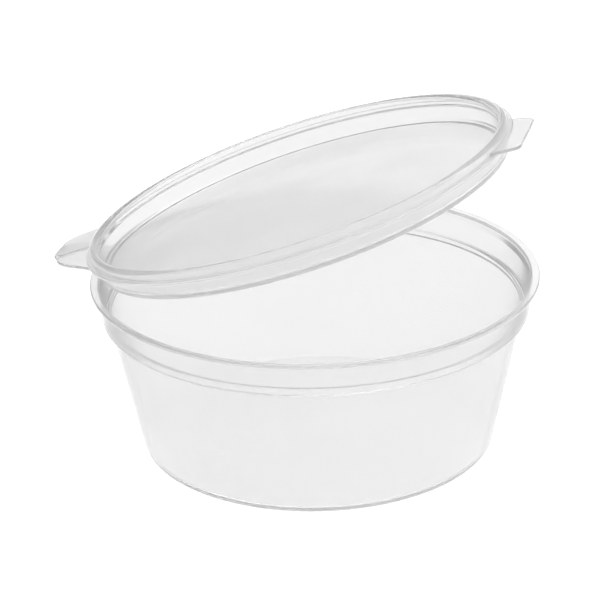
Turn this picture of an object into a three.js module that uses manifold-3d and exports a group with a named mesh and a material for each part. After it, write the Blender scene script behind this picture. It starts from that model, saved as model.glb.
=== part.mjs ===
// Round portion cup with a hinged lid, moulded in one shot of clear-milky polypropylene.
// Millimetres, +Z up. The origin is the centre of the cup's flat base. The fold that joins
// the lid to the cup is on the -X side, the lifting tab on the +X side, and both halves are
// symmetric about the XZ plane. The lid is stood part open, turned about the fold line.
import * as THREE from 'three';
import { mergeVertices } from 'three/addons/utils/BufferGeometryUtils.js';
import Module from 'manifold-3d';

const wasm = await Module();
wasm.setup();

const SEGMENTS = 72; // sides of every turned surface
const DEGREE = Math.PI / 180;

// Cup
const CUP_HEIGHT = 31.4;
const RIM_RADIUS = 40; // outside of the lip
const LIP_THICKNESS = 0.6;
const LIP_ROUND = 0.22;
const MOUTH_RADIUS = 38.62; // inner edge of the lip's flat top
const SEAT_DEPTH = 1.44; // slope that leads the lid in, below the lip
const COLLAR_TOP_RADIUS = 38.6; // outside, under the lip
const COLLAR_FOOT_RADIUS = 38.15; // outside, at the ledge
const COLLAR_SEAT_RADIUS = 38.0; // inside, at the foot of the lead-in slope
const COLLAR_INNER_RADIUS = 37.5; // inside, at the ledge
const COLLAR_FOOT_Z = 24.9;
const LEDGE_TOP_Z = 26.3;
const LEDGE_UNDER_Z = 25.3;
const LEDGE_ROUND = 0.3;
const WALL_DRAFT = 11.85 * DEGREE; // lean of the tapered wall
const WALL = 0.62;
const BASE_FLAT_RADIUS = 31.2;
const BASE_ROUND = 0.7; // outside
const BASE_INNER_ROUND = 0.5;
const BASE_THICKNESS = 0.7;

// Lid, in its closed place. Heights are above the top of the cup's lip.
const FLANGE_BOTTOM = 1.4; // flat ring that carries the flap and the tab
const FLANGE_THICKNESS = 0.66;
const FLANGE_RADIUS = 39.4;
const FLANGE_ROUND = 0.2;
const LID_TOP = 3.6;
const BEAD_RADIUS = 38.55; // rounded bead that stands on the ring
const BEAD_INNER_RADIUS = 36.95;
const BEAD_ROUND = 0.75;
const LID_WALL_TOP_RADIUS = 37.75; // outside, under the ring
const LID_WALL_FOOT_RADIUS = 37.5; // outside, at the bottom of the plug
const LID_WALL = 0.65;
const PLUG_BOTTOM = -1.95;
const PLUG_ROUND = 0.5;
const PANEL_THICKNESS = 0.55;
const PANEL_FILLET = 0.9;

// Hinge flaps, in plan: u is the distance from the cup's axis, v is across
const FLAP_REACH = 48; // end of both flaps, at the fold
const FLAP_CORNER_U = 43.6; // where the rounded end starts
const FLAP_END_HALF_WIDTH = 2.3;
const FLAP_HALF_WIDTH = 5.2;
const CUP_FLAP_FLARE = 1.3;
const CUP_FLAP_THICKNESS = 0.54;
const CUP_FLAP_ROOT_RADIUS = 39.2;
const LID_FLAP_FLARE = 1.2;
const LID_FLAP_THICKNESS = 0.5;
const LID_FLAP_BOTTOM = 0.3; // underside at the fold, above the lip
const LID_FLAP_RISE = 5.2 * DEGREE; // climbs from the fold to the ring
const LID_FLAP_ROOT_RADIUS = 37.4;

// Lifting tab, in plan as the flaps; it leaves the foot of the bead and droops
const TAB_REACH = 42.6;
const TAB_HALF_WIDTH = 8;
const TAB_ROOT_HALF_WIDTH = 8.9;
const TAB_CORNER = 1.8;
const TAB_THICKNESS = 0.54;
const TAB_BOTTOM = 1.95; // underside at the root, above the lip
const TAB_ROOT_RADIUS = 38.3;
const TAB_DROOP = 5 * DEGREE;

// Fold: the turning line lies between the two flaps, just past their ends
const FOLD_GAP = 0.15;
const FOLD_X = -(FLAP_REACH + FOLD_GAP);
const FOLD_RISE = 0.225; // above the lip
const FOLD_Z = CUP_HEIGHT + FOLD_RISE;
const LID_OPEN = 17.2 * DEGREE;

const ARC_STEPS = 3;

function arc(cx, cy, rx, ry, from, to, steps = ARC_STEPS) {
  const points = [];
  for (let i = 0; i <= steps; i += 1) {
    const angle = (from + ((to - from) * i) / steps) * DEGREE;
    points.push(new THREE.Vector2(cx + rx * Math.cos(angle), cy + ry * Math.sin(angle)));
  }
  return points;
}

function point(x, y) {
  return new THREE.Vector2(x, y);
}

function toManifold(geometry) {
  const bare = geometry.clone();
  bare.deleteAttribute('normal');
  bare.deleteAttribute('uv');
  const merged = mergeVertices(bare, 1e-4);
  return new wasm.Manifold(new wasm.Mesh({
    numProp: 3,
    vertProperties: new Float32Array(merged.attributes.position.array),
    triVerts: new Uint32Array(merged.index.array),
  }));
}

function toGeometry(manifold) {
  const mesh = manifold.getMesh();
  const geometry = new THREE.BufferGeometry();
  geometry.setAttribute('position', new THREE.BufferAttribute(mesh.vertProperties, 3));
  geometry.setIndex(new THREE.BufferAttribute(mesh.triVerts, 1));
  geometry.computeVertexNormals();
  return geometry;
}

// Turns a profile of (radius, height) points, from the axis round to the axis, about Z
function turned(profile) {
  const geometry = new THREE.LatheGeometry(profile, SEGMENTS);
  geometry.rotateX(Math.PI / 2);
  return toManifold(geometry);
}

// Flat plate of an outline in plan, with its underside at z = 0
function plate(outline, thickness) {
  const shape = new THREE.Shape(outline);
  return new THREE.ExtrudeGeometry(shape, { depth: thickness, bevelEnabled: false });
}

function cupProfile() {
  const lean = Math.tan(WALL_DRAFT);
  const footRadius = BASE_FLAT_RADIUS + BASE_ROUND * Math.cos(WALL_DRAFT);
  const footZ = BASE_ROUND * (1 - Math.sin(WALL_DRAFT));
  const outerRadius = (z) => footRadius + (z - footZ) * lean;
  const innerRadius = (z) => outerRadius(z) - WALL / Math.cos(WALL_DRAFT);
  const innerFootZ = BASE_THICKNESS + BASE_INNER_ROUND * (1 - Math.sin(WALL_DRAFT));
  const innerRoundX = innerRadius(innerFootZ) - BASE_INNER_ROUND * Math.cos(WALL_DRAFT);
  const lipBottom = CUP_HEIGHT - LIP_THICKNESS;
  const arcEnd = -WALL_DRAFT / DEGREE;
  const outside = [
    point(0, 0),
    ...arc(BASE_FLAT_RADIUS, BASE_ROUND, BASE_ROUND, BASE_ROUND, -90, arcEnd),
    point(outerRadius(LEDGE_UNDER_Z), LEDGE_UNDER_Z),
    ...arc(COLLAR_FOOT_RADIUS - LEDGE_ROUND, COLLAR_FOOT_Z + LEDGE_ROUND,
      LEDGE_ROUND, LEDGE_ROUND, -90, 0),
    point(COLLAR_TOP_RADIUS, lipBottom),
    ...arc(RIM_RADIUS - LIP_ROUND, lipBottom + LIP_ROUND, LIP_ROUND, LIP_ROUND, -90, 0, 2),
    ...arc(RIM_RADIUS - LIP_ROUND, CUP_HEIGHT - LIP_ROUND, LIP_ROUND, LIP_ROUND, 0, 90, 2),
  ];
  const ledgeEdge = innerRadius(LEDGE_TOP_Z - LEDGE_ROUND);
  const inside = [
    point(MOUTH_RADIUS, CUP_HEIGHT),
    point(COLLAR_SEAT_RADIUS, CUP_HEIGHT - SEAT_DEPTH),
    point(COLLAR_INNER_RADIUS, LEDGE_TOP_Z),
    point(ledgeEdge + LEDGE_ROUND, LEDGE_TOP_Z),
    point(ledgeEdge, LEDGE_TOP_Z - LEDGE_ROUND),
    ...arc(innerRoundX, BASE_THICKNESS + BASE_INNER_ROUND,
      BASE_INNER_ROUND, BASE_INNER_ROUND, arcEnd, -90),
    point(0, BASE_THICKNESS),
  ];
  return [...outside, ...inside];
}

function lidProfile() {
  const flangeTop = FLANGE_BOTTOM + FLANGE_THICKNESS;
  const slope = (LID_WALL_TOP_RADIUS - LID_WALL_FOOT_RADIUS) / (FLANGE_BOTTOM - PLUG_BOTTOM);
  const outerRadius = (z) => LID_WALL_FOOT_RADIUS + (z - PLUG_BOTTOM) * slope;
  const panelTop = PLUG_BOTTOM + PANEL_THICKNESS;
  const filletX = outerRadius(panelTop + PANEL_FILLET) - LID_WALL - PANEL_FILLET;
  const outside = [
    point(0, PLUG_BOTTOM),
    ...arc(LID_WALL_FOOT_RADIUS - PLUG_ROUND, PLUG_BOTTOM + PLUG_ROUND,
      PLUG_ROUND, PLUG_ROUND, -90, 0),
    point(LID_WALL_TOP_RADIUS, FLANGE_BOTTOM),
    ...arc(FLANGE_RADIUS - FLANGE_ROUND, FLANGE_BOTTOM + FLANGE_ROUND,
      FLANGE_ROUND, FLANGE_ROUND, -90, 0, 2),
    ...arc(FLANGE_RADIUS - FLANGE_ROUND, flangeTop - FLANGE_ROUND,
      FLANGE_ROUND, FLANGE_ROUND, 0, 90, 2),
    point(BEAD_RADIUS, flangeTop),
    ...arc(BEAD_RADIUS - BEAD_ROUND, LID_TOP - BEAD_ROUND, BEAD_ROUND, BEAD_ROUND, 0, 90),
  ];
  const inside = [
    ...arc(BEAD_INNER_RADIUS + BEAD_ROUND, LID_TOP - BEAD_ROUND,
      BEAD_ROUND, BEAD_ROUND, 90, 180),
    ...arc(filletX, panelTop + PANEL_FILLET, PANEL_FILLET, PANEL_FILLET, 0, -90),
    point(0, panelTop),
  ];
  return [...outside, ...inside].map((p) => point(p.x, p.y + CUP_HEIGHT));
}

// Tongue between the rim and the fold: a rounded end, sides that flare into the rim,
// and a root that follows the rim so that it stays inside the rim's own thickness
function flapOutline(rootRadius, flare) {
  const steps = 6;
  const cornerLength = FLAP_REACH - FLAP_CORNER_U;
  const side = arc(FLAP_CORNER_U, FLAP_END_HALF_WIDTH,
    cornerLength, FLAP_HALF_WIDTH - FLAP_END_HALF_WIDTH, 0, 90, steps);
  const rootHalfWidth = FLAP_HALF_WIDTH + flare;
  const rootU = Math.sqrt(rootRadius ** 2 - rootHalfWidth ** 2);
  for (let i = 1; i <= steps; i += 1) {
    const t = i / steps;
    side.push(point(FLAP_CORNER_U + (rootU - FLAP_CORNER_U) * t, FLAP_HALF_WIDTH + flare * t * t));
  }
  return mirroredOutline(side, rootRadius);
}

function tabOutline(rootRadius) {
  const rootU = Math.sqrt(rootRadius ** 2 - TAB_ROOT_HALF_WIDTH ** 2);
  const side = [
    ...arc(TAB_REACH - TAB_CORNER, TAB_HALF_WIDTH - TAB_CORNER, TAB_CORNER, TAB_CORNER, 0, 75, 4),
    point(rootU, TAB_ROOT_HALF_WIDTH),
  ];
  return mirroredOutline(side, rootRadius);
}

// Closes one side of an outline with its mirror image and an arc of the root radius
function mirroredOutline(side, rootRadius) {
  const last = side[side.length - 1];
  const angle = Math.atan2(last.y, last.x) / DEGREE;
  const root = arc(0, 0, rootRadius, rootRadius, angle, -angle, 8).slice(1, -1);
  const mirror = side.map((p) => point(p.x, -p.y)).reverse();
  return [...side, ...root, ...mirror];
}

function cupGeometry() {
  const flap = plate(flapOutline(CUP_FLAP_ROOT_RADIUS, CUP_FLAP_FLARE), CUP_FLAP_THICKNESS);
  const inset = (LIP_THICKNESS - CUP_FLAP_THICKNESS) / 2;
  flap.rotateZ(Math.PI);
  flap.translate(0, 0, CUP_HEIGHT - CUP_FLAP_THICKNESS - inset);
  return toGeometry(turned(cupProfile()).add(toManifold(flap)));
}

function lidGeometry() {
  const flap = plate(flapOutline(LID_FLAP_ROOT_RADIUS, LID_FLAP_FLARE), LID_FLAP_THICKNESS);
  flap.rotateZ(Math.PI);
  flap.translate(FLAP_REACH, 0, 0);
  flap.rotateY(-LID_FLAP_RISE);
  flap.translate(-FLAP_REACH, 0, CUP_HEIGHT + LID_FLAP_BOTTOM);
  const tab = plate(tabOutline(TAB_ROOT_RADIUS), TAB_THICKNESS);
  tab.translate(-TAB_ROOT_RADIUS, 0, 0);
  tab.rotateY(TAB_DROOP);
  tab.translate(TAB_ROOT_RADIUS, 0, CUP_HEIGHT + TAB_BOTTOM);
  return toGeometry(turned(lidProfile()).add(toManifold(flap)).add(toManifold(tab)));
}

function polypropylene(color) {
  return new THREE.MeshStandardMaterial({
    color, roughness: 0.32, metalness: 0, transparent: true, opacity: 0.5,
  });
}

function portionCup() {
  const group = new THREE.Group();
  const cup = new THREE.Mesh(cupGeometry(), polypropylene(0xeceeef));
  cup.name = 'cup';
  group.add(cup);

  const fold = new THREE.Group();
  fold.position.set(FOLD_X, 0, FOLD_Z);
  fold.rotation.y = -LID_OPEN;
  const lid = new THREE.Mesh(lidGeometry(), polypropylene(0xe6e8e9));
  lid.name = 'lid';
  lid.position.set(-FOLD_X, 0, -FOLD_Z);
  fold.add(lid);
  group.add(fold);
  return group;
}

export default portionCup();
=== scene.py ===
"""Looks of a round portion cup with a hinged lid, moulded in natural polypropylene.

Metres, +Z up, the origin at the centre of the cup's base. The fold of the lid is towards -X
and the lifting tab towards +X. Lengths are named in millimetres and scaled once.
"""

import math

import bmesh
import bpy
from mathutils import Matrix, Vector


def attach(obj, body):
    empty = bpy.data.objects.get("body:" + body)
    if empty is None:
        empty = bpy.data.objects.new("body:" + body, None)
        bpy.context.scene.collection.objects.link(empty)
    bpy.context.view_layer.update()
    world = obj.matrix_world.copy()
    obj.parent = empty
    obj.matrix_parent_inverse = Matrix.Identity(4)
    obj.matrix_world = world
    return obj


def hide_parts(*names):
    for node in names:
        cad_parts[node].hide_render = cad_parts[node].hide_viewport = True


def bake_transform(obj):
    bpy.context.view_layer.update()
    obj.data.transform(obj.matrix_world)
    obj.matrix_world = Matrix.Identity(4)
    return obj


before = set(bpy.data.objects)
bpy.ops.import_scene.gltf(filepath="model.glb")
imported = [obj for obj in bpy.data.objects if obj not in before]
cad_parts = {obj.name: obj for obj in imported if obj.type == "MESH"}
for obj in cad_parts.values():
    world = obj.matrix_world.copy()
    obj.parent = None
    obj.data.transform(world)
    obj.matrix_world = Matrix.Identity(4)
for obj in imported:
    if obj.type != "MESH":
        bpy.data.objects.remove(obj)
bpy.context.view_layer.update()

MM = 0.001

# Cup, millimetres
CUP_HEIGHT = 31.4
RIM_RADIUS = 40.0
LIP_THICKNESS = 0.6
LIP_ROUND = 0.22
UNDER_LIP_ROUND = 0.2
MOUTH_RADIUS = 38.62  # inner edge of the lip's flat top
MOUTH_ROUND = 0.12
SEAT_DEPTH = 1.44  # slope that leads the lid in, below the lip
COLLAR_TOP_RADIUS = 38.6  # outside, under the lip
COLLAR_FOOT_RADIUS = 38.15  # outside, at the ledge
COLLAR_SEAT_RADIUS = 38.0  # inside, at the foot of the lead-in slope
COLLAR_INNER_RADIUS = 37.5  # inside, at the ledge
COLLAR_FOOT_Z = 24.9
LEDGE_TOP_Z = 26.3
LEDGE_UNDER_Z = 25.3
LEDGE_ROUND = 0.3  # also at the foot of the seat's slope
LEDGE_UNDER_ROUND = 0.25
LEDGE_CORNER_ROUND = 0.2  # where the collar rises from the ledge
WALL_DRAFT = math.radians(11.85)
WALL = 0.62
BASE_FLAT_RADIUS = 31.2
BASE_ROUND = 0.7
BASE_INNER_ROUND = 0.8
BASE_THICKNESS = 0.7

# Lid in its closed place, heights above the top of the cup's lip
FLANGE_BOTTOM = 1.4  # flat ring that carries the flap and the tab
FLANGE_THICKNESS = 0.66
FLANGE_RADIUS = 39.4
FLANGE_ROUND = 0.2
FLANGE_CORNER_ROUND = 0.15  # where the ring meets the plug and the bead
LID_TOP = 3.57  # a hair under the solid's, so that the fine bead stays inside its box
BEAD_RADIUS = 38.55  # rounded bead that stands on the ring
BEAD_INNER_RADIUS = 36.95
BEAD_ROUND = 0.75
LID_WALL_TOP_RADIUS = 37.75  # outside, under the ring
LID_WALL_FOOT_RADIUS = 37.5  # outside, at the bottom of the plug
LID_WALL = 0.65
PLUG_BOTTOM = -1.95
PLUG_ROUND = 0.5
PANEL_THICKNESS = 0.55
PANEL_FILLET = 0.9

# Hinge flaps, in plan: u is the distance from the cup's axis, v is across
FLAP_REACH = 47.75  # a little short of the solids', so that the web has room at the fold
FLAP_CORNER_U = 43.6  # where the rounded end starts
FLAP_END_HALF_WIDTH = 2.3
FLAP_HALF_WIDTH = 5.2
FLAP_STEPS = 12
CUP_FLAP_FLARE = 1.3
CUP_FLAP_THICKNESS = 0.54
CUP_FLAP_ROOT_RADIUS = 39.2
LID_FLAP_FLARE = 1.2
LID_FLAP_THICKNESS = 0.5
LID_FLAP_BOTTOM = 0.3  # underside at the fold, above the lip
LID_FLAP_RISE = math.radians(5.2)  # climbs from the fold to the ring
LID_FLAP_ROOT_RADIUS = 37.4

# Lifting tab, in plan as the flaps; it leaves the foot of the bead and droops
TAB_REACH = 42.6
TAB_HALF_WIDTH = 8.0
TAB_ROOT_HALF_WIDTH = 8.9
TAB_CORNER = 1.8
TAB_CORNER_SWEEP = 75  # degrees, because the sides splay towards the root
TAB_CORNER_STEPS = 8
TAB_THICKNESS = 0.54
TAB_BOTTOM = 1.95  # underside at the root, above the lip
TAB_ROOT_RADIUS = 38.3
TAB_DROOP = math.radians(5)

ROOT_STEPS = 12
PLATE_EDGE = 0.14  # rounding along the edges of flaps and tab
PLATE_EDGE_STEPS = 3

# The fold and its web, millimetres
FOLD_X = -48.15
FOLD_Z = 31.625
LID_OPEN = math.radians(17.2)
WEB_THICKNESS = 0.22
WEB_HALF_WIDTH = 2.4
WEB_INSET = 0.5  # how far each end reaches into its flap
WEB_LIFT = 0.03  # at the lid's end, where the flap already climbs
WEB_BACK_X = -48.18  # skin of the strip at the back of its bend
WEB_BEND_STEPS = 12
WEB_STEPS_ACROSS = 10

# How finely the forms are drawn
STEPS_ROUND = 192
ARC_STEP = 15  # degrees, at most, along a rounding
SUPPORT = 0.12  # extra edge beside each rounding, so that flats shade flat
LONG_STRAIGHT = 6 * SUPPORT  # a shorter one gets no extra edge
MOULDING_SHARP = math.radians(32)  # a crease that turns more than this stays sharp
WEB_SHARP = math.radians(40)
SEAM_GAP = 2e-6  # metres, for the seam and the poles of a turned form
DOUBLES_GAP = 1e-7  # metres
SAME_HEIGHT = 1e-6  # millimetres


def linear(value):
    """An sRGB hex colour as linear red, green, blue and alpha."""
    channels = [int(value[i : i + 2], 16) / 255 for i in (1, 3, 5)]
    return [c / 12.92 if c <= 0.04045 else ((c + 0.055) / 1.055) ** 2.4 for c in channels] + [1.0]


def node(tree, kind, settings=None, inputs=None):
    """Adds a node with its properties, each input linked to a given socket or set to a value."""
    made = tree.nodes.new(kind)
    for key, value in (settings or {}).items():
        setattr(made, key, value)
    for key, value in (inputs or {}).items():
        if isinstance(value, bpy.types.NodeSocket):
            tree.links.new(value, made.inputs[key])
        else:
            made.inputs[key].default_value = value
    return made


# ---------------------------------------------------------------- profiles


def rounded(corners):
    """A profile of (radius, height, rounding) corners with each rounding drawn as an arc.

    Long straights get a support point beside each arc.
    """
    points = [Vector(corners[0][:2])]
    for before, here, after in zip(corners, corners[1:], corners[2:]):
        p, size = Vector(here[:2]), here[2]
        back = (Vector(before[:2]) - p).normalized()
        ahead = (Vector(after[:2]) - p).normalized()
        turn = math.pi - back.angle(ahead)
        reach = size * math.tan(turn / 2)
        start, end = p + back * reach, p + ahead * reach
        centre = p + (back + ahead).normalized() * (size / math.cos(turn / 2))
        count = max(2, math.ceil(math.degrees(turn) / ARC_STEP))
        spoke = start - centre
        sign = 1 if spoke.cross(end - centre) > 0 else -1
        arc = []
        for i in range(count + 1):
            a = sign * turn * i / count
            arc.append(centre + Vector((spoke.x * math.cos(a) - spoke.y * math.sin(a),
                                        spoke.x * math.sin(a) + spoke.y * math.cos(a))))
        if (start - points[-1]).length > LONG_STRAIGHT:
            if len(points) > 1:
                points.append(points[-1] + (start - points[-1]).normalized() * SUPPORT)
            points.append(start + back * SUPPORT)
        points += arc
    last = Vector(corners[-1][:2])
    points.append(points[-1] + (last - points[-1]).normalized() * SUPPORT)
    points.append(last)
    return points


def cup_profile():
    """From the middle of the underside, up the outside, over the lip and down the inside."""
    lean = math.tan(WALL_DRAFT)
    foot_radius = BASE_FLAT_RADIUS + BASE_ROUND * math.cos(WALL_DRAFT)
    foot_z = BASE_ROUND * (1 - math.sin(WALL_DRAFT))

    def outer(z):
        return foot_radius + (z - foot_z) * lean

    def inner(z):
        return outer(z) - WALL / math.cos(WALL_DRAFT)

    under_lip = CUP_HEIGHT - LIP_THICKNESS
    return rounded([
        (0, 0, 0),
        (outer(0), 0, BASE_ROUND),
        (outer(LEDGE_UNDER_Z), LEDGE_UNDER_Z, LEDGE_UNDER_ROUND),
        (COLLAR_FOOT_RADIUS, COLLAR_FOOT_Z, LEDGE_ROUND),
        (COLLAR_TOP_RADIUS, under_lip, UNDER_LIP_ROUND),
        (RIM_RADIUS, under_lip, UNDER_LIP_ROUND),
        (RIM_RADIUS, CUP_HEIGHT, LIP_ROUND),
        (MOUTH_RADIUS, CUP_HEIGHT, MOUTH_ROUND),
        (COLLAR_SEAT_RADIUS, CUP_HEIGHT - SEAT_DEPTH, LEDGE_ROUND),
        (COLLAR_INNER_RADIUS, LEDGE_TOP_Z, LEDGE_CORNER_ROUND),
        (inner(LEDGE_TOP_Z), LEDGE_TOP_Z, LEDGE_ROUND),
        (inner(BASE_THICKNESS), BASE_THICKNESS, BASE_INNER_ROUND),
        (0, BASE_THICKNESS, 0),
    ])


def lid_profile():
    """From the middle of the plug's underside, round the ring and the bead, to the panel."""
    flange_top = FLANGE_BOTTOM + FLANGE_THICKNESS
    slope = (LID_WALL_TOP_RADIUS - LID_WALL_FOOT_RADIUS) / (FLANGE_BOTTOM - PLUG_BOTTOM)
    panel_top = PLUG_BOTTOM + PANEL_THICKNESS
    recess = LID_WALL_FOOT_RADIUS + PANEL_THICKNESS * slope - LID_WALL
    corners = [
        (0, PLUG_BOTTOM, 0),
        (LID_WALL_FOOT_RADIUS, PLUG_BOTTOM, PLUG_ROUND),
        (LID_WALL_TOP_RADIUS, FLANGE_BOTTOM, FLANGE_CORNER_ROUND),
        (FLANGE_RADIUS, FLANGE_BOTTOM, FLANGE_ROUND),
        (FLANGE_RADIUS, flange_top, FLANGE_ROUND),
        (BEAD_RADIUS, flange_top, FLANGE_CORNER_ROUND),
        (BEAD_RADIUS, LID_TOP, BEAD_ROUND),
        (BEAD_INNER_RADIUS, LID_TOP, BEAD_ROUND),
        (recess, panel_top, PANEL_FILLET),
        (0, panel_top, 0),
    ]
    return rounded([(r, z + CUP_HEIGHT, size) for r, z, size in corners])


# ---------------------------------------------------------------- turned forms


def turning_tree():
    """Turns a profile drawn in the XZ plane round the Z axis into a closed skin."""
    tree = bpy.data.node_groups.new("turned_form", "GeometryNodeTree")
    face = tree.interface
    face.new_socket("Profile", in_out="INPUT", socket_type="NodeSocketGeometry")
    face.new_socket("Steps round", in_out="INPUT", socket_type="NodeSocketInt")
    face.new_socket("Material", in_out="INPUT", socket_type="NodeSocketMaterial")
    face.new_socket("Geometry", in_out="OUTPUT", socket_type="NodeSocketGeometry")
    given = node(tree, "NodeGroupInput").outputs
    steps = given["Steps round"]

    # A grid with a row for each point of the profile and a column for each step round
    size = node(tree, "GeometryNodeAttributeDomainSize", inputs={"Geometry": given["Profile"]})
    columns = node(tree, "FunctionNodeIntegerMath", {"operation": "ADD"},
                   {0: steps, 1: 1}).outputs[0]
    grid = node(tree, "GeometryNodeMeshGrid", inputs={
        "Vertices X": size.outputs["Point Count"], "Vertices Y": columns})
    index = node(tree, "GeometryNodeInputIndex").outputs[0]
    row = node(tree, "FunctionNodeIntegerMath", {"operation": "DIVIDE"}, {0: index, 1: columns})
    column = node(tree, "FunctionNodeIntegerMath", {"operation": "MODULO"},
                  {0: index, 1: columns})

    # Each row lies where its point of the profile is drawn, turned about Z by its column
    drawn = node(tree, "GeometryNodeSampleIndex", {"data_type": "FLOAT_VECTOR"}, {
        "Geometry": given["Profile"],
        "Value": node(tree, "GeometryNodeInputPosition").outputs[0],
        "Index": row.outputs[0]})
    share = node(tree, "ShaderNodeMath", {"operation": "DIVIDE"}, {0: column.outputs[0], 1: steps})
    angle = node(tree, "ShaderNodeMath", {"operation": "MULTIPLY"},
                 {0: share.outputs[0], 1: math.tau})
    place = node(tree, "ShaderNodeVectorRotate", {"rotation_type": "Z_AXIS"}, {
        "Vector": drawn.outputs[0], "Angle": angle.outputs[0]})
    skin = node(tree, "GeometryNodeSetPosition", inputs={
        "Geometry": grid.outputs["Mesh"], "Position": place.outputs[0]})

    closed = node(tree, "GeometryNodeMergeByDistance", inputs={
        "Geometry": skin.outputs[0], "Distance": SEAM_GAP})
    smooth = node(tree, "GeometryNodeSetShadeSmooth", inputs={"Geometry": closed.outputs[0]})
    real = node(tree, "GeometryNodeRealizeInstances", inputs={"Geometry": smooth.outputs[0]})
    painted = node(tree, "GeometryNodeSetMaterial", inputs={
        "Geometry": real.outputs[0], "Material": given["Material"]})
    node(tree, "NodeGroupOutput", inputs={"Geometry": painted.outputs[0]})
    return tree


def link(obj):
    bpy.context.scene.collection.objects.link(obj)
    return obj


def baked(obj, name):
    """The object with its modifiers applied, as a plain mesh object of that name."""
    bpy.context.view_layer.update()
    graph = bpy.context.evaluated_depsgraph_get()
    mesh = bpy.data.meshes.new_from_object(obj.evaluated_get(graph))
    bpy.data.objects.remove(obj)
    mesh.name = name
    return link(bpy.data.objects.new(name, mesh))


def face_out(mesh):
    """Merges doubles and turns the faces of a closed mesh outwards."""
    work = bmesh.new()
    work.from_mesh(mesh)
    bmesh.ops.remove_doubles(work, verts=work.verts, dist=DOUBLES_GAP)
    bmesh.ops.recalc_face_normals(work, faces=work.faces)
    work.to_mesh(mesh)
    work.free()


def shade_smooth(mesh):
    for face in mesh.polygons:
        face.use_smooth = True


def turned(name, profile, tree, material):
    mesh = bpy.data.meshes.new(name)
    mesh.from_pydata([(p.x * MM, 0, p.y * MM) for p in profile],
                     [(i, i + 1) for i in range(len(profile) - 1)], [])
    obj = link(bpy.data.objects.new(name, mesh))
    turning = obj.modifiers.new("turning", "NODES")
    turning.node_group = tree
    inputs = {s.name: s.identifier for s in tree.interface.items_tree if s.in_out == "INPUT"}
    turning[inputs["Steps round"]] = STEPS_ROUND
    turning[inputs["Material"]] = material
    obj = baked(obj, name)
    face_out(obj.data)
    return obj


# ---------------------------------------------------------------- flaps and tab


def arc_points(cu, cv, ru, rv, start, end, steps):
    """Points along an arc about (cu, cv), from one angle in degrees to another."""
    angles = [math.radians(start + (end - start) * i / steps) for i in range(steps + 1)]
    return [(cu + ru * math.cos(a), cv + rv * math.sin(a)) for a in angles]


def closed_outline(side, root_radius):
    """One side of an outline, an arc of the root radius and the side's mirror image."""
    angle = math.degrees(math.atan2(side[-1][1], side[-1][0]))
    root = arc_points(0, 0, root_radius, root_radius, angle, -angle, ROOT_STEPS)[1:-1]
    return side + root + [(u, -v) for u, v in reversed(side)]


def flap_outline(root_radius, flare):
    """A tongue with a rounded end, whose sides flare into the rim."""
    side = arc_points(FLAP_CORNER_U, FLAP_END_HALF_WIDTH, FLAP_REACH - FLAP_CORNER_U,
                      FLAP_HALF_WIDTH - FLAP_END_HALF_WIDTH, 0, 90, FLAP_STEPS)
    root_u = math.sqrt(root_radius**2 - (FLAP_HALF_WIDTH + flare) ** 2)
    for i in range(1, FLAP_STEPS + 1):
        t = i / FLAP_STEPS
        side.append((FLAP_CORNER_U + (root_u - FLAP_CORNER_U) * t, FLAP_HALF_WIDTH + flare * t * t))
    return closed_outline(side, root_radius)


def tab_outline(root_radius):
    root_u = math.sqrt(root_radius**2 - TAB_ROOT_HALF_WIDTH**2)
    side = arc_points(TAB_REACH - TAB_CORNER, TAB_HALF_WIDTH - TAB_CORNER,
                      TAB_CORNER, TAB_CORNER, 0, TAB_CORNER_SWEEP, TAB_CORNER_STEPS)
    return closed_outline(side + [(root_u, TAB_ROOT_HALF_WIDTH)], root_radius)


def plate(name, outline, thickness, place, material):
    """A plate of an outline in plan with softly rounded edges, moved by a matrix in mm."""
    work = bmesh.new()
    ring = [work.verts.new((u, v, 0)) for u, v in outline]
    bottom = work.faces.new(ring)
    grown = bmesh.ops.extrude_face_region(work, geom=[bottom])["geom"]
    for v in grown:
        if isinstance(v, bmesh.types.BMVert):
            v.co.z += thickness
    bmesh.ops.recalc_face_normals(work, faces=work.faces)
    rims = [e for e in work.edges if abs(e.verts[0].co.z - e.verts[1].co.z) < SAME_HEIGHT]
    bmesh.ops.bevel(work, geom=rims, offset=PLATE_EDGE, segments=PLATE_EDGE_STEPS, profile=0.5,
                    affect="EDGES")
    bmesh.ops.transform(work, matrix=Matrix.Scale(MM, 4) @ place, verts=work.verts)
    mesh = bpy.data.meshes.new(name)
    work.to_mesh(mesh)
    work.free()
    mesh.materials.append(material)
    shade_smooth(mesh)
    return link(bpy.data.objects.new(name, mesh))


def joined(name, body, plates):
    """Body and plates as one closed moulding with flat flats and soft roundings."""
    for extra in plates:
        union = body.modifiers.new("union", "BOOLEAN")
        union.operation = "UNION"
        union.solver = "EXACT"
        union.object = extra
    body = baked(body, name)
    for extra in plates:
        bpy.data.objects.remove(extra)
    shade_smooth(body.data)
    body.data.set_sharp_from_angle(angle=MOULDING_SHARP)
    even = body.modifiers.new("even_shading", "WEIGHTED_NORMAL")
    even.keep_sharp = True
    return baked(body, name)


# ---------------------------------------------------------------- web at the fold


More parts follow.
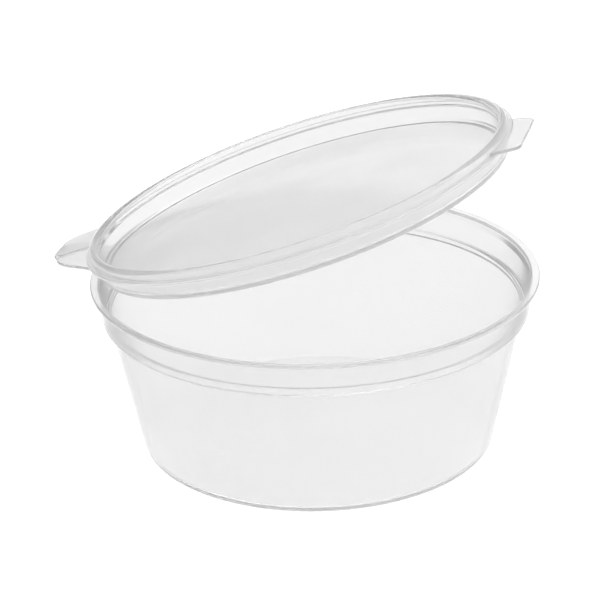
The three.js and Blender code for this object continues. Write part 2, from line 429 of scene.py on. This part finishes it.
def web_line():
    """Middle line of the web in the XZ plane: out of the cup's flap, round and into the lid's."""
    low = CUP_HEIGHT - LIP_THICKNESS / 2
    high = CUP_HEIGHT + LID_FLAP_BOTTOM + LID_FLAP_THICKNESS / 2 + WEB_LIFT
    start = Vector((WEB_INSET - FLAP_REACH, low))
    dx, dz = WEB_INSET - FLAP_REACH - FOLD_X, high - FOLD_Z
    end = Vector((FOLD_X + dx * math.cos(LID_OPEN) - dz * math.sin(LID_OPEN),
                  FOLD_Z + dx * math.sin(LID_OPEN) + dz * math.cos(LID_OPEN)))
    radius = (end.y - start.y) / 2
    hub = Vector((WEB_BACK_X + WEB_THICKNESS / 2 + radius, (start.y + end.y) / 2))
    angles = [math.radians(-90 - 180 * i / WEB_BEND_STEPS) for i in range(WEB_BEND_STEPS + 1)]
    return [start] + [hub + Vector((math.cos(a), math.sin(a))) * radius for a in angles] + [end]


def web_row(work, p, out):
    """The corners of one cross-section of the strip: its back, then its front."""
    row = []
    for side in (1, -1):
        q = p + out * WEB_THICKNESS / 2 * side
        for k in range(WEB_STEPS_ACROSS + 1)[::side]:
            v = WEB_HALF_WIDTH * (2 * k / WEB_STEPS_ACROSS - 1)
            row.append(work.verts.new((q.x * MM, v * MM, q.y * MM)))
    return row


def hinge_web(material):
    """The thin strip that bends round the fold, from inside one flap's end to the other's."""
    line = web_line()
    work = bmesh.new()
    rows = []
    for i, p in enumerate(line):
        before, after = line[max(i - 1, 0)], line[min(i + 1, len(line) - 1)]
        along = (after - before).normalized()
        rows.append(web_row(work, p, Vector((-along.y, along.x))))
    for a, b in zip(rows, rows[1:]):
        for k in range(len(a)):
            work.faces.new((a[k], a[k - 1], b[k - 1], b[k]))
    work.faces.new(rows[0])
    work.faces.new(list(reversed(rows[-1])))
    bmesh.ops.recalc_face_normals(work, faces=work.faces)
    mesh = bpy.data.meshes.new("hinge_web")
    work.to_mesh(mesh)
    work.free()
    mesh.materials.append(material)
    shade_smooth(mesh)
    mesh.set_sharp_from_angle(angle=WEB_SHARP)
    return link(bpy.data.objects.new("hinge_web", mesh))


# ---------------------------------------------------------------- material

POLYPROPYLENE_IOR = 1.49
PEEL_SIZE = 2.381  # mm across a dimple of the orange peel
PEEL_DEPTH = 0.03  # mm
PEEL_STRENGTH = 0.1
PATCH_SIZE = 16.67  # mm across a patch of slightly duller or brighter skin
PATCH_SPREAD = 0.03  # of roughness, either way


def moulded_polypropylene(name, tint, milk, haze):
    """Natural polypropylene, injection moulded: a milky, clear-grey plastic with a satin skin.

    Its crystals scatter light, so that what is close behind a wall shows faintly and the rest
    blurs to an even grey. The mould leaves a slight orange peel, which only highlights show.
    """
    material = bpy.data.materials.new(name)
    material.use_nodes = True
    tree = material.node_tree
    tree.nodes.clear()
    place = node(tree, "ShaderNodeTexCoord").outputs["Object"]
    peel = node(tree, "ShaderNodeTexNoise", inputs={
        "Vector": place, "Scale": 1 / (PEEL_SIZE * MM), "Detail": 2.0, "Roughness": 0.5})
    bump = node(tree, "ShaderNodeBump", inputs={
        "Height": peel.outputs["Fac"], "Strength": PEEL_STRENGTH, "Distance": PEEL_DEPTH * MM})
    patches = node(tree, "ShaderNodeTexNoise", inputs={
        "Vector": place, "Scale": 1 / (PATCH_SIZE * MM), "Detail": 3.0, "Roughness": 0.55})
    satin = node(tree, "ShaderNodeMapRange", inputs={
        "Value": patches.outputs["Fac"], "From Min": 0.3, "From Max": 0.7,
        "To Min": haze - PATCH_SPREAD, "To Max": haze + PATCH_SPREAD})
    skin = node(tree, "ShaderNodeBsdfPrincipled", inputs={
        "Base Color": linear(tint), "IOR": POLYPROPYLENE_IOR, "Transmission Weight": 1 - milk,
        "Roughness": satin.outputs[0], "Normal": bump.outputs[0]})
    node(tree, "ShaderNodeOutputMaterial", inputs={"Surface": skin.outputs[0]})
    return material


polypropylene = moulded_polypropylene("moulded_polypropylene", tint="#fdfdfd", milk=0.2, haze=0.11)

# ---------------------------------------------------------------- pieces

turning = turning_tree()

half_turn = Matrix.Rotation(math.pi, 4, "Z")
cup_body = turned("cup_body", cup_profile(), turning, polypropylene)
flap_level = CUP_HEIGHT - (LIP_THICKNESS + CUP_FLAP_THICKNESS) / 2
cup_flap = plate("cup_flap", flap_outline(CUP_FLAP_ROOT_RADIUS, CUP_FLAP_FLARE),
                 CUP_FLAP_THICKNESS, Matrix.Translation((0, 0, flap_level)) @ half_turn,
                 polypropylene)
cup_moulding = joined("cup_moulding", cup_body, [cup_flap])

lid_body = turned("lid_body", lid_profile(), turning, polypropylene)
rise = (Matrix.Translation((-FLAP_REACH, 0, CUP_HEIGHT + LID_FLAP_BOTTOM))
        @ Matrix.Rotation(-LID_FLAP_RISE, 4, "Y")
        @ Matrix.Translation((FLAP_REACH, 0, 0)) @ half_turn)
lid_flap = plate("lid_flap", flap_outline(LID_FLAP_ROOT_RADIUS, LID_FLAP_FLARE),
                 LID_FLAP_THICKNESS, rise, polypropylene)
droop = (Matrix.Translation((TAB_ROOT_RADIUS, 0, CUP_HEIGHT + TAB_BOTTOM))
         @ Matrix.Rotation(TAB_DROOP, 4, "Y") @ Matrix.Translation((-TAB_ROOT_RADIUS, 0, 0)))
lid_tab = plate("lid_tab", tab_outline(TAB_ROOT_RADIUS), TAB_THICKNESS, droop, polypropylene)
lid_moulding = joined("lid_moulding", lid_body, [lid_flap, lid_tab])
fold = Vector((FOLD_X, 0, FOLD_Z)) * MM
lid_moulding.data.transform(Matrix.Translation(fold) @ Matrix.Rotation(-LID_OPEN, 4, "Y")
                            @ Matrix.Translation(-fold))

web = hinge_web(polypropylene)

for piece, body in ((cup_moulding, "cup"), (lid_moulding, "lid")):
    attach(piece, body)
    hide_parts(body)
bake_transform(web)

# ---------------------------------------------------------------- stage and light

FLOOR_RADIUS = 3.0  # metres
FLOOR_SIDES = 64
FLOOR_DROP = 0.00015  # metres, so that floor and base don't share a plane
FLOOR_GLOW = 1.16  # a little over white, so that the floor is plain white in the picture


def stage_floor():
    """A plain white floor, lit evenly like a light table, a hair below the base."""
    work = bmesh.new()
    bmesh.ops.create_circle(work, cap_ends=True, radius=FLOOR_RADIUS, segments=FLOOR_SIDES)
    bmesh.ops.translate(work, vec=(0, 0, -FLOOR_DROP), verts=work.verts)
    mesh = bpy.data.meshes.new("stage_floor")
    work.to_mesh(mesh)
    work.free()
    glow = bpy.data.materials.new("opal_light_table")
    glow.use_nodes = True
    tree = glow.node_tree
    tree.nodes.clear()
    lit = node(tree, "ShaderNodeEmission", inputs={
        "Color": linear("#ffffff"), "Strength": FLOOR_GLOW})
    node(tree, "ShaderNodeOutputMaterial", inputs={"Surface": lit.outputs[0]})
    mesh.materials.append(glow)
    return link(bpy.data.objects.new("stage_floor", mesh))


def studio_walls(dim, bright, towards):
    """Soft light from all round, brighter from one side of the studio than from the other."""
    world = bpy.data.worlds.new("studio_walls")
    world.use_nodes = True
    tree = world.node_tree
    tree.nodes.clear()
    side = node(tree, "ShaderNodeVectorMath", {"operation": "DOT_PRODUCT"}, {
        0: node(tree, "ShaderNodeTexCoord").outputs["Generated"],
        1: Vector(towards).normalized()})
    level = node(tree, "ShaderNodeMapRange", inputs={
        "Value": side.outputs["Value"], "From Min": -1.0, "From Max": 1.0,
        "To Min": dim, "To Max": bright})
    light = node(tree, "ShaderNodeBackground", inputs={"Strength": level.outputs[0]})
    node(tree, "ShaderNodeOutputWorld", inputs={"Surface": light.outputs[0]})
    return world


def softbox(name, place, target, size, power):
    """A round lamp with a soft front, in metres and watts."""
    data = bpy.data.lights.new(name, "AREA")
    data.shape = "DISK"
    data.size = size
    data.energy = power
    lamp = link(bpy.data.objects.new(name, data))
    lamp.location = place
    lamp.rotation_euler = (Vector(target) - Vector(place)).to_track_quat("-Z", "Y").to_euler()


stage_floor()
bpy.context.scene.world = studio_walls(dim=0.7, bright=1.3, towards=(1.0, 0.0, 0.2))
softbox("softbox_top", place=(0.15, 0.25, 0.9), target=(0, 0, 0.02), size=0.7, power=1.5)

# ---------------------------------------------------------------- camera

# Worked out from the rings of the cup in the photo, together with their sizes
PHOTO_WIDTH = 600  # pixels
PHOTO_TURN = math.radians(14.5)  # camera's bearing about the cup's axis
PHOTO_DISTANCE = 450.0  # mm
PHOTO_ELEVATION = 0.4620836  # radians
PHOTO_AIM = (-2.7453, 26.0513)  # across the view and up, mm
PHOTO_ROLL = -0.0284164  # radians
PHOTO_FOCAL = 2450.587  # pixels
SENSOR_WIDTH = 36.0  # mm


def photo_camera():
    turn = Matrix.Rotation(PHOTO_TURN, 3, "Z")
    eye = turn @ Vector((0, -PHOTO_DISTANCE * math.cos(PHOTO_ELEVATION),
                         PHOTO_DISTANCE * math.sin(PHOTO_ELEVATION)))
    aim = turn @ Vector((PHOTO_AIM[0], 0, PHOTO_AIM[1]))
    ahead = (aim - eye).normalized()
    right = ahead.cross(Vector((0, 0, 1))).normalized()
    up = right.cross(ahead)
    c, s = math.cos(PHOTO_ROLL), math.sin(PHOTO_ROLL)
    right, up = c * right + s * up, c * up - s * right
    data = bpy.data.cameras.new("photo_camera")
    data.sensor_fit = "HORIZONTAL"
    data.sensor_width = SENSOR_WIDTH
    data.lens = PHOTO_FOCAL / PHOTO_WIDTH * SENSOR_WIDTH
    data.clip_start = 0.01
    data.clip_end = 20.0
    camera = link(bpy.data.objects.new("photo_camera", data))
    pose = Matrix((right, up, -ahead)).transposed().to_4x4()
    camera.matrix_world = Matrix.Translation(eye * MM) @ pose
    return camera


# Light crosses two skins at every wall and runs on inside the rims, so it needs many bounces
CLEAR_BOUNCES = 96
SOFT_BOUNCES = 48

scene = bpy.context.scene
scene.camera = photo_camera()
scene.view_settings.view_transform = "Standard"
scene.cycles.max_bounces = CLEAR_BOUNCES
scene.cycles.transmission_bounces = CLEAR_BOUNCES
scene.cycles.diffuse_bounces = SOFT_BOUNCES
scene.cycles.glossy_bounces = SOFT_BOUNCES
